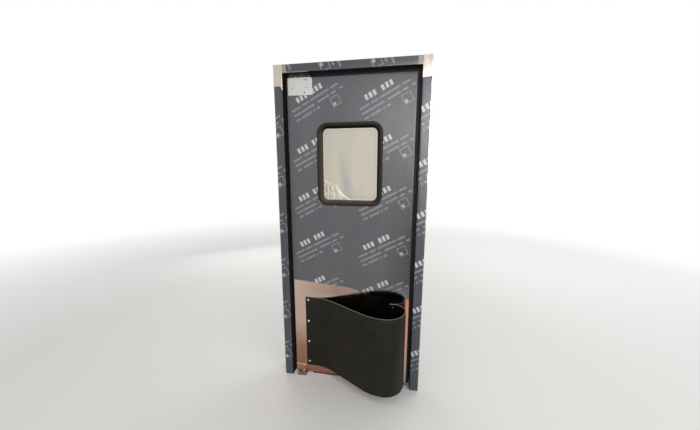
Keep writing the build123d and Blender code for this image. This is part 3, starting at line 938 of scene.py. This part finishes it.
class DOOR_OT_frame_film(Operator):
    """Wrap film round the jambs and the header, cut off near the top corners, and painted near black as shade
    in the reveals
    """
    bl_idname = "door.frame_film"
    bl_label = "Frame film"

    def execute(self, context):
        settings = context.scene.door_film
        self.jamb(settings, "hinge_jamb_film", jamb_low.x, 1, HINGE_CUTS, HINGE_PRINT)
        self.jamb(settings, "strike_jamb_film", strike_high.x, -1, STRIKE_CUTS, STRIKE_PRINT)
        self.header(settings)
        return {"FINISHED"}

    def wrap(self, piece, way, bend, edge, turn):
        """Bend a sheet round a channel, over the reveal from one bend to the other, and back to its edge."""
        x, z, axis = (bend, 0, AXIS_Z) if way == "x" else (0, bend, AXIS_X)
        pick_line(piece, way, bend)
        swing((x, -REVEAL, z), turn, 4, axis)
        push(y=2 * REVEAL)
        swing((x, REVEAL, z), turn, 4, axis)
        push(**{way: edge - bend})

    def complete(self, piece, settings, rule):
        """Give a wrapped sheet its thickness, and paint it near black as shade between the two bends."""
        tidy_mesh(piece)
        lay_sheet(piece, rule)
        modify(piece, "SOLIDIFY", thickness=settings.thickness, offset=0.0)
        # Faces in the reveals take the near-black finish that paints their shade
        for face in piece.data.polygons:
            face.material_index = int(abs(face.center.y) < half_frame - 0.2 * MM)
        smooth(piece)
        belongs(piece, "frame", "protective_film", finishes=["frame_film", "reveal_painted_shade"])

    def jamb(self, settings, name, face, side, cuts, start):
        """Film on one jamb: side is 1 where the jamb is right of its outer face, and -1 where it is left."""
        outer, inner = face + side * LIP_EDGE, face + side * (jamb_high.x - jamb_low.x - BEND)
        foot, high = jamb_low.z + 1 * MM, header_low.z - CLEAR
        columns = len(cuts) - 2
        piece = upright(name, sorted((outer, inner)), (foot, high), -half_frame - settings.gap, columns, 64)

        def trim(place):
            away = abs(place.y)
            if away < REVEAL + CLOSE:
                top = high
                place.x += side * settings.padding
            elif away > half_frame:
                top = cuts[round(columns * (place.x - outer) / (inner - outer))] * MM
            else:
                top = cuts[-1] * MM
            place.z = foot + (place.z - foot) * (top - foot) / (high - foot)
            ragged = noise.noise(Vector((place.z * 17, face * 5, 3.0)))
            if abs(place.x - outer) < 0.1 * MM:
                place.x += side * (0.8 + 1.4 * ragged) * MM

        def rule(place):
            run = abs(place.x - face) if place.y < 0 else 2 * jamb_high.x - abs(place.x - face)
            return (side * (run + place.y + half_frame) + start[0] * MM, place.z + start[1] * MM)

        with editing(piece):
            self.wrap(piece, "x", inner, outer, side * QUARTER)
            move_corners(piece, trim)
        self.complete(piece, settings, rule)

    def header(self, settings):
        """Film on the header, left open round the pivot bracket."""
        low, high = header_low.z + BEND, header_high.z - LIP_EDGE
        left, right = header_low.x + HEADER_LEFT, header_high.x - HEADER_RIGHT
        end, side = bracket_high.x + 1 * MM, bracket_high.y + 0.5 * MM
        piece = upright("header_film", (left, right), (low, high), -half_frame - settings.gap, 28, 2)

        def trim(place):
            in_reveal = abs(place.y) < REVEAL + CLOSE
            at_left, at_right = place.x < left + 1 * MM, place.x > right - 1 * MM
            if in_reveal and at_left:
                place.x = header_low.x + CLEAR
            elif in_reveal and at_right:
                place.x = header_high.x - CLEAR
            elif at_left:
                place.x += (high - place.z) * 0.1 - 2 * MM
            if place.x < end - 2 * MM and abs(place.z - low) < 0.1 * MM:
                place.z += 2 * MM

        def rule(place):
            down = header_high.z - place.z if place.y < 0 else place.z - 2 * header_low.z + header_high.z
            return (down + place.y + half_frame + HEADER_PRINT[0] * MM, place.x + HEADER_PRINT[1] * MM)

        with editing(piece):
            self.wrap(piece, "z", low, high, QUARTER)
            for point, normal in (((end, 0, 0), (1, 0, 0)), ((end - 3 * MM, 0, 0), (1, 0, 0)),
                                  ((0, -side, 0), (0, 1, 0)), ((0, side, 0), (0, 1, 0))):
                everything("EDGE")
                bpy.ops.mesh.bisect(plane_co=point, plane_no=normal)
            pick(piece, "FACE", lambda place, _: place.x < end and place.z < low and
                 (abs(place.y) < side or abs(place.y) > REVEAL))
            bpy.ops.mesh.delete(type="FACE")
            move_corners(piece, trim)
        self.complete(piece, settings, rule)


# Leaf

# The sweep's lips: how far they hang down, how thick they are, and how much thinner at the foot
SWEEP_DROP, SWEEP_LIP, SWEEP_LEAN = 8 * MM, 4 * MM, 1.8 * MM


class DOOR_OT_leaf_finishes(Operator):
    """Give the leaf's skins, seals, channels and pivots their finishes"""
    bl_idname = "door.leaf_finishes"
    bl_label = "Leaf finishes"

    def execute(self, context):
        coat("leaf_steel", "front_skin", "back_skin")
        coat("cover_steel", "front_lower_cover", "back_lower_cover")
        coat("seal_rubber", "hinge_seal", "strike_seal", "top_seal", "bottom_sweep")
        coat("channel_plastic", "hinge_edge_channel", "strike_edge_channel", "top_edge_channel",
             "bottom_edge_channel")
        coat("core_foam", "foam_core")
        coat("pane_acrylic", "window_pane")
        coat("cast_iron", "top_pivot_block", "lower_pivot_case")
        return {"FINISHED"}


class DOOR_OT_sweep_lips(Operator):
    """Model the rubber lips that hang from the leaf's lower edge, one under each skin; their black also
    stands in for the shade under the leaf
    """
    bl_idname = "door.sweep_lips"
    bl_label = "Sweep lips"

    def execute(self, context):
        foot, face = skin_low.z - SWEEP_DROP, -half_leaf + 0.3 * MM
        piece = upright("front_sweep_lip", (sweep_low.x, sweep_high.x), (foot, skin_low.z), face, 12, 3)
        with editing(piece):
            everything()
            push(y=SWEEP_LIP)
        tidy_mesh(piece)
        with editing(piece):
            pick(piece, "EDGE", lambda place: place.z < foot + CLOSE and place.y > face + 1 * MM)
            bpy.ops.transform.translate(value=(0, -SWEEP_LEAN, 0))
        for lip in (piece, mirrored(piece, "back_sweep_lip")):
            smooth(lip, 40)
            belongs(lip, "leaf", "seal_rubber", finishes=["seal_rubber"])
        return {"FINISHED"}


# The torn edge of the leaf's film: distances from the leaf's hinge edge, and heights
TORN = ((0, 724), (70, 719), (84, 718), (90, 724), (97, 716), (120, 715), (262, 703), (400, 693), (446, 683),
        (486, 667), (560, 650), (660, 642), (804, 640))

# The film's folded rims, and its lowest rows: how far each is off the one above, and how far below it
FOLD, RIM = 2.0 * MM, 9.5 * MM
TORN_ROWS = ((0.1, 3.0), (0.2, 2.2), (0.4, 1.6), (0.5, 1.2))
TORN_DEPTH = sum(down for _, down in TORN_ROWS) * MM
TORN_REACH = 26 * MM


def torn_height(x):
    """Height of the torn edge at one place."""
    run = min(max((x - skin_low.x) / MM, TORN[0][0]), TORN[-1][0])
    for (x0, z0), (x1, z1) in zip(TORN, TORN[1:]):
        if run <= x1:
            return (z0 + (z1 - z0) * (run - x0) / (x1 - x0)) * MM
    return TORN[-1][1] * MM


def off_steel(x):
    """How far the torn edge is off the steel at one place: where the film is tight it is pressed flat."""
    return held((TIGHT_FULL - x) / (TIGHT_FULL - TIGHT_FROM))


def in_window(place, inset):
    """Whether a place is inside the window ring's outline, drawn in by an inset."""
    corner = bpy.context.scene.door_window.corner - inset
    x = abs(place.x - ring_middle.x) - ring_half.x + inset + corner
    z = abs(place.z - ring_middle.z) - ring_half.z + inset + corner
    if x > corner or z > corner:
        return False
    return x < 0 or z < 0 or hypot(x, z) < corner


class DOOR_OT_leaf_film(Operator):
    """Cover both skins of the leaf with film, folded over the edges and torn off above the floor"""
    bl_idname = "door.leaf_film"
    bl_label = "Leaf film"

    def execute(self, context):
        settings = context.scene.door_film
        piece = self.sheet(settings)
        for sheet, turn in ((piece, 1), (mirrored(piece, "back_leaf_film"), -1)):
            self.complete(sheet, settings, turn)
        return {"FINISHED"}

    def sheet(self, settings):
        """The front film: a fine grid with the window cut out, three folded rims and a torn lower edge."""
        left, right, top = skin_low.x + FOLD, skin_high.x - FOLD, skin_high.z - FOLD
        base, hold = 660 * MM, 800 * MM
        flat, fold_y = -half_leaf - settings.gap, -half_leaf + FOLD
        piece = upright("front_leaf_film", (left, right), (base, top), flat, columns=134, rows=116)

        def draw_down(place):
            """Stretch the grid's foot down or up to the torn edge."""
            if place.z < hold:
                down = (hold - place.z) / (hold - base)
                place.z = hold - down * (hold - torn_height(place.x) - TORN_DEPTH)

        def roughen(place):
            """Near the torn edge, the tear wanders, and lifts off the steel here and there."""
            near = 1 - (place.z - torn_height(place.x)) / TORN_REACH
            if near <= 0:
                return
            wander = 1.6 * noise.noise(Vector((place.x * 24, 0, 0)))
            wander += 0.8 * noise.noise(Vector((place.x * 130, 4, 0)))
            place.z += wander * near ** 3 * MM
            if place.y < -half_leaf:
                lift = max(0.0, noise.noise(Vector((place.x * 9, 7, 0))) + 0.25)
                place.y = flat + off_steel(place.x) * (place.y - flat - settings.curl * lift * near ** 3)

        with editing(piece):
            pick(piece, "FACE", lambda place, _: in_window(place, 9 * MM))
            bpy.ops.mesh.delete(type="FACE")
            for x, turn in ((left, -QUARTER), (right, QUARTER)):
                pick_line(piece, "x", x)
                swing((x, fold_y, 0), turn, 4)
                push(y=RIM)
            pick(piece, "EDGE", lambda place: abs(place.z - top) < CLOSE and place.y < fold_y - FOLD)
            swing((0, fold_y, top), -QUARTER, 4, AXIS_X)
            push(y=RIM)
            pick_line(piece, "z", base)
            move_corners(piece, draw_down)
            for out, down in TORN_ROWS:
                push(y=-out * MM, z=-down * MM)
            move_corners(piece, roughen)
        return piece

    def complete(self, piece, settings, turn):
        """Lay out the sheet, mark its torn edge and give it its thickness."""
        tidy_mesh(piece)
        left, right, top = skin_low.x + FOLD, skin_high.x - FOLD, skin_high.z - FOLD

        def rule(place):
            run = max(0.0, half_leaf - abs(place.y))
            u = place.x - run if place.x < left else place.x + run if place.x > right else place.x
            return (turn * u, place.z + run if place.z > top else place.z)

        def torn(place, _):
            near = max(0.0, 1 - (place.z - torn_height(place.x)) / (5 * MM))
            return off_steel(place.x) * near ** 2

        lay_sheet(piece, rule)
        mark(piece, "torn", torn)
        modify(piece, "SOLIDIFY", thickness=settings.thickness, offset=0.0)
        smooth(piece, 60)
        belongs(piece, "leaf", "protective_film", finishes=["leaf_film"])


# Window

# The ring's section: how far in from its outer edge, and how far off the skin
RING_SECTION = ((0.02, 1.0), (0.3, 2.6), (1.1, 4.2), (2.5, 5.4), (4.6, 5.95), (8.5, 6.0), (13.0, 5.8),
                (17.2, 5.3), (18.6, 4.6), (19.2, 3.4), (20.4, 3.2), (21.4, 3.7), (22.6, 3.2), (24.4, 1.2),
                (26.8, -2.0), (29.4, -5.6), (32.0, -9.2), (34.2, -12.4), (35.5, -14.6), (36.0, -16.8))


class DOOR_OT_window_ring(Operator):
    """Model the window's rubber ring: a rounded bead, a groove and a slope down to the pane"""
    bl_idname = "door.window_ring"
    bl_label = "Window ring"

    def execute(self, context):
        settings = context.scene.door_window
        inwards, height = 0.0, 0.1
        piece = upright("window_ring", (ring_low.x, ring_high.x), (ring_low.z, ring_high.z),
                        -half_leaf - height * MM)
        with editing(piece):
            everything("VERT")
            bpy.ops.mesh.bevel(offset=settings.corner, segments=16, affect="VERTICES")
            everything()
            for next_in, next_height in RING_SECTION:
                bpy.ops.mesh.inset(thickness=(next_in - inwards) * MM, depth=(next_height - height) * MM)
                inwards, height = next_in, next_height
            bpy.ops.mesh.delete(type="FACE")
        modify(piece, "MIRROR", use_axis=(False, True, False), use_mirror_merge=False)
        tidy_mesh(piece, 0.005 * MM)
        modify(piece, "SOLIDIFY", thickness=settings.wall, offset=-1.0, use_even_offset=True)
        smooth(piece, 50)
        # How far each corner faces the upper right: the material paints light there, and shade where it faces
        # away
        mark(piece, "facing_light", lambda _, normal: 0.55 * normal.x + 0.8 * normal.z)
        belongs(piece, "leaf", "gasket_rubber", "window_gasket", finishes=["ring_rubber"])
        return {"FINISHED"}


# How far the pane's film reaches under the ring
LAP = 3 * MM

# Folds of the film's loose corner: two ends measured from the sight opening's corner, height, half width, and
# the strength of the painted highlight along a ridge, below zero the painted shadow in a pit, which has no
# height
FOLDS = (((0, 131), (29, 110), 3.2, 5, 0.9), ((29, 110), (29, 8), 3.6, 4.5, 0.9),
         ((29, 110), (84, 88), 2.4, 4, 0.45), ((82, 92), (98, 58), 4.2, 8, 0.9),
         ((96, 62), (128, 26), 5.0, 11, 1.0), ((106, 40), (176, 1), 4.2, 8, 1.0),
         ((92, 60), (112, 10), 3.4, 5, 0.6), ((29, 8), (120, 6), 2.2, 4, 0.6),
         ((10, 112), (9, 14), 2.2, 4, 0.4), ((56, 84), (70, 20), 2.4, 5, 0.35),
         ((48, 50), (82, 12), 2.2, 5, 0.3), ((15, 54), (16, 78), 0, 4.5, -0.8),
         ((42, 62), (43, 86), 0, 4.5, -0.7), ((37, 20), (40, 22), 0, 5.5, -1.0),
         ((20, 96), (19, 84), 0, 3.5, -0.5))


def folded(x, z):
    """Height, in millimetres, of the loose film at a place measured from the corner, and its painted
    highlight, below zero its painted shadow.
    """
    height = ridge = pit = 0.0
    for (x0, z0), (x1, z1), peak, half, white in FOLDS:
        dx, dz = x1 - x0, z1 - z0
        run = held(((x - x0) * dx + (z - z0) * dz) / (dx * dx + dz * dz))
        gap = hypot(x - x0 - run * dx, z - z0 - run * dz)
        near = max(0.0, 1 - gap / half) ** 0.8
        height = max(height, peak * near)
        ridge = max(ridge, white * near)
        pit = min(pit, white * near)
    return height, ridge + pit


class DOOR_OT_pane_film(Operator):
    """Lay milky film on both sides of the pane, loose and folded in one lower corner"""
    bl_idname = "door.pane_film"
    bl_label = "Pane film"

    def execute(self, context):
        settings = context.scene.door_window
        inset, thickness = RING_BAND - LAP, 0.15 * MM
        x = (ring_low.x + inset, ring_high.x - inset)
        z = (ring_low.z + inset, ring_high.z - inset)
        piece = upright("front_pane_film", x, z, pane_low.y - thickness, columns=144, rows=186)

        def from_corner(place):
            return (place.x - x[0] - LAP) / MM, (place.z - z[0] - LAP) / MM

        def lift(place):
            if in_window(place, RING_BAND + 1.5 * MM):
                place.y -= folded(*from_corner(place))[0] * MM

        def loose(place, _):
            run, rise = from_corner(place)
            along = (run / settings.peel_width + rise / settings.peel_height) * MM
            return held((1.06 - along) / 0.1)

        with editing(piece):
            pick(piece, "FACE", lambda place, _: not in_window(place, inset))
            bpy.ops.mesh.delete(type="FACE")
            move_corners(piece, lift)
        mark(piece, "loose", loose)
        mark(piece, "ridge", lambda place, _: folded(*from_corner(place))[1])
        for sheet in (piece, mirrored(piece, "back_pane_film")):
            tidy_mesh(sheet)
            modify(sheet, "SOLIDIFY", thickness=thickness, offset=0.0)
            smooth(sheet, 25)
            belongs(sheet, "leaf", "pane_film", finishes=["pane_film"])
        return {"FINISHED"}


# Bumpers

class DOOR_OT_bumpers(Operator):
    """Roll each bumper from one sheet: flange, flare, ramp, crown, shoulder, heel and inner flange"""
    bl_idname = "door.bumpers"
    bl_label = "Bumpers"

    def execute(self, context):
        piece = self.rolled(context.scene.door_bumper)
        for sheet, node in ((piece, "front_bumper"), (mirrored(piece, "back_teardrop"), "back_bumper")):
            # The sawn top and bottom edges take their own pale finish, a painted highlight
            for face in sheet.data.polygons:
                if abs(face.normal.z) > 0.6:
                    face.material_index = 2
            smooth(sheet)
            belongs(sheet, "leaf", "bumper_plastic", node)
        return {"FINISHED"}

    def rolled(self, settings):
        """The front bumper, bent on arcs that meet each other and the straight ramp without a crease."""
        start = Vector((bumper_low.x, -half_leaf - settings.sheet))
        flare_start = start + Vector((settings.flange, 0))
        crown = Vector((bumper_high.x - settings.shoulder, bumper_low.y))
        bends = settings.flare + settings.crown
        along = crown.x - flare_start.x
        rise = flare_start.y - crown.y - bends
        slope = atan2(rise, along) + asin(bends / hypot(along, rise))
        lean = Vector((sin(slope), cos(slope)))
        crown_centre = crown + Vector((0, settings.crown))
        flare_centre = flare_start - Vector((0, settings.flare))
        ramp = (crown_centre - settings.crown * lean) - (flare_centre + settings.flare * lean)
        heel_x = bumper_high.x - settings.heel
        heel_y = bumper_low.y + settings.shoulder

        piece = upright("front_teardrop", (start.x, flare_start.x), (bumper_low.z, bumper_high.z), start.y, 2)
        with editing(piece):
            pick_line(piece, "x", flare_start.x)
            swing((*flare_centre, 0), -slope, 18)
            push(x=ramp.x, y=ramp.y)
            swing((*crown_centre, 0), slope, 18)
            swing((crown.x, heel_y, 0), QUARTER, 28)
            swing((heel_x, heel_y, 0), QUARTER, 22)
            push(x=-settings.heel_flange)
            end = next(corner.co for corner in bmesh.from_edit_mesh(piece.data).verts if corner.select)
            if abs(end.y + half_leaf) > 0.2 * MM:
                raise RuntimeError(f"the bumper's heel ends at {end.y}, off the leaf's face")
        tidy_mesh(piece)
        for name in ("bumper_plastic", "bumper_inside_shade", "bumper_cut_highlight"):
            piece.data.materials.append(finish(name))
        if min(piece.data.polygons, key=lambda face: face.center.x).normal.y > 0:
            with editing(piece):
                everything()
                bpy.ops.mesh.flip_normals()
        # The inner face takes the near-black finish that paints the shade inside the bumper
        modify(piece, "SOLIDIFY", thickness=settings.sheet, offset=-1.0, use_even_offset=True,
               material_offset=1)
        modify(piece, "BEVEL", width=0.8 * MM, segments=2, limit_method="ANGLE", angle_limit=radians(50))
        return piece


# Covers and screws, each place along x and z in millimetres

COVER_HOLES = ((198.0, 2036.0), (187.0, 1962.0))
COVER_SCREWS = ((198.0, 1990.0), (109.5, 1990.0))
LOW_COVER_SCREWS = ((139.5, 57.0), (130.5, 20.0))
BUMPER_ROWS = (578.5, 418.5, 258.5, 98.5)
BUMPER_SCREW_INSET = 20 * MM
HEEL_SCREW_X = 768 * MM
PLATE_SCREW_INSET = 12 * MM
FLUSH_RADIUS = 3.9 * MM
PANEL_DEPTH = 0.5 * MM
WASHER_HEIGHT = 1.2 * MM


class DOOR_OT_hinge_covers(Operator):
    """Mould the white covers over the top pivot: rounded edges, a sunk panel and two open holes"""
    bl_idname = "door.hinge_covers"
    bl_label = "Hinge covers"

    def execute(self, context):
        settings = context.scene.door_cover
        piece = begin("front_pivot_cover", bpy.ops.mesh.primitive_cube_add, cover_low, cover_high)
        with editing(piece):
            pick(piece, "EDGE", lambda place: min(place.x - cover_high.x, place.z - cover_high.z) > -1 * MM)
            bpy.ops.mesh.bevel(offset=settings.corner, segments=8, affect="EDGES")
            pick(piece, "FACE", lambda _, normal: normal.y < -0.9)
            round_rim(settings.edge, 4)
            pick(piece, "FACE", lambda place, normal: normal.y < -0.99 and place.y < cover_low.y + CLOSE)
            bpy.ops.mesh.inset(thickness=5 * MM, depth=0.0)
            bpy.ops.mesh.inset(thickness=0.8 * MM, depth=-PANEL_DEPTH)
        for x, z in COVER_HOLES:
            bpy.ops.mesh.primitive_cylinder_add(vertices=32, radius=settings.hole, depth=9 * MM,
                                                location=(x * MM, cover_low.y, z * MM),
                                                rotation=(QUARTER, 0, 0))
            carve(piece, context.object)
        back = mirrored(piece, "back_pivot_cover")
        for cover, node in ((piece, "front_hinge_cover"), (back, "back_hinge_cover")):
            for face in cover.data.polygons:
                bore = min(hypot(face.center.x - x * MM, face.center.z - z * MM) for x, z in COVER_HOLES)
                face.material_index = int(bore < settings.hole + 0.05 * MM and
                                          abs(face.center.y) < -cover_low.y - 0.6 * MM)
            smooth(cover, 30)
            belongs(cover, "leaf", "cover_plastic", node, finishes=["cover_plastic", "hole_shadow"])
        return {"FINISHED"}


class DOOR_OT_screws(Operator):
    """Make one screw of each kind and set copies of it on both sides of the leaf and in the frame"""
    bl_idname = "door.screws"
    bl_label = "Screws"

    def execute(self, context):
        settings = context.scene.door_screw
        self.count = 0
        pan = self.head("pan_screw", settings.head, 2.8 * MM, settings.washer)
        heel = self.head("heel_screw", settings.head, 2.4 * MM)
        small = self.head("cover_screw", settings.small_head, 1.6 * MM)
        flush = self.head("flush_screw", FLUSH_RADIUS, 0.4 * MM)
        for side in (FRONT, BACK):
            flange = side * (half_leaf + context.scene.door_bumper.sheet)
            panel = side * (-cover_low.y - PANEL_DEPTH)
            for height in BUMPER_ROWS:
                self.place(pan, "bumper", (bumper_low.x + BUMPER_SCREW_INSET, flange, height * MM), side)
                self.place(heel, "heel", (HEEL_SCREW_X, flange, height * MM), side, "dull_screw_steel")
            for x, z in COVER_SCREWS:
                self.place(small, "cover", (x * MM, panel, z * MM), side, "dull_screw_steel")
            for x, z in LOW_COVER_SCREWS:
                self.place(small, "low_cover", (x * MM, side * -low_cover_low.y, z * MM), side)
        for x in (plate_low.x + PLATE_SCREW_INSET, plate_high.x - PLATE_SCREW_INSET):
            for y in (plate_low.y + PLATE_SCREW_INSET, plate_high.y - PLATE_SCREW_INSET):
                self.place(flush, "floor_plate", (x, y, plate_high.z - 0.1 * MM), 0)
        for master in (pan, heel, small, flush):
            bpy.data.objects.remove(master)
        return {"FINISHED"}

    def head(self, name, radius, height, washer=0.0):
        """A domed head with a cross recess, pointing up, on a washer if one is given."""
        piece = disc(name, 32, radius, height, 0.45 * height, 4)
        for turn in (0.0, QUARTER):
            bpy.ops.mesh.primitive_cube_add(size=1.0, location=(0, 0, height), rotation=(0, 0, turn))
            cutter = bpy.context.object
            cutter.scale = (1.15 * radius, 0.24 * radius, 0.9 * height)
            settle(cutter)
            carve(piece, cutter)
        if washer:
            ring = disc("washer", 40, washer, WASHER_HEIGHT, 0.5 * MM, 2)
            piece.location.z = WASHER_HEIGHT - 0.1 * MM
            settle(piece)
            ring.select_set(True)
            bpy.ops.object.join()
        return piece

    def place(self, master, name, spot, side, steel="screw_steel"):
        """Set a copy of a screw on a face that looks to the front, to the back, or up."""
        self.count += 1
        copy = twin(master, f"{name}_screw_{self.count}")
        copy.rotation_euler = (-side * QUARTER, 0, 0)
        copy.location = spot
        settle(copy)
        smooth(copy, 30)
        belongs(copy, "leaf" if side else "frame", "screw_steel", finishes=[steel])


# Add-on

SETTINGS = (("door_steel", SteelSettings), ("door_film", FilmSettings), ("door_window", WindowSettings),
            ("door_bumper", BumperSettings), ("door_cover", CoverSettings), ("door_screw", ScrewSettings),
            ("door_stage", StageSettings))
OPERATORS = (DOOR_OT_stage, DOOR_OT_frame_steel, DOOR_OT_frame_film, DOOR_OT_leaf_finishes,
             DOOR_OT_sweep_lips, DOOR_OT_leaf_film, DOOR_OT_window_ring, DOOR_OT_pane_film, DOOR_OT_bumpers,
             DOOR_OT_hinge_covers, DOOR_OT_screws)


class DOOR_PT_looks(Panel):
    """Lists the door's operators and their settings"""
    bl_label = "Traffic Door"
    bl_space_type = "VIEW_3D"
    bl_region_type = "UI"
    bl_category = "Traffic Door"

    def draw(self, context):
        for operator in OPERATORS:
            self.layout.operator(operator.bl_idname)
        for name, kind in SETTINGS:
            box = self.layout.box()
            box.label(text=kind.__name__.replace("Settings", ""))
            for setting in kind.__annotations__:
                box.prop(getattr(context.scene, name), setting)


def register():
    for name, kind in SETTINGS:
        bpy.utils.register_class(kind)
        setattr(bpy.types.Scene, name, PointerProperty(type=kind))
    for kind in (*OPERATORS, DOOR_PT_looks):
        bpy.utils.register_class(kind)


def unregister():
    for kind in (DOOR_PT_looks, *reversed(OPERATORS)):
        bpy.utils.unregister_class(kind)
    for name, kind in reversed(SETTINGS):
        delattr(bpy.types.Scene, name)
        bpy.utils.unregister_class(kind)


def main():
    """Make every piece."""
    register()
    for operator in OPERATORS:
        group, name = operator.bl_idname.split(".")
        getattr(getattr(bpy.ops, group), name)()


if __name__ == "__main__":
    main()
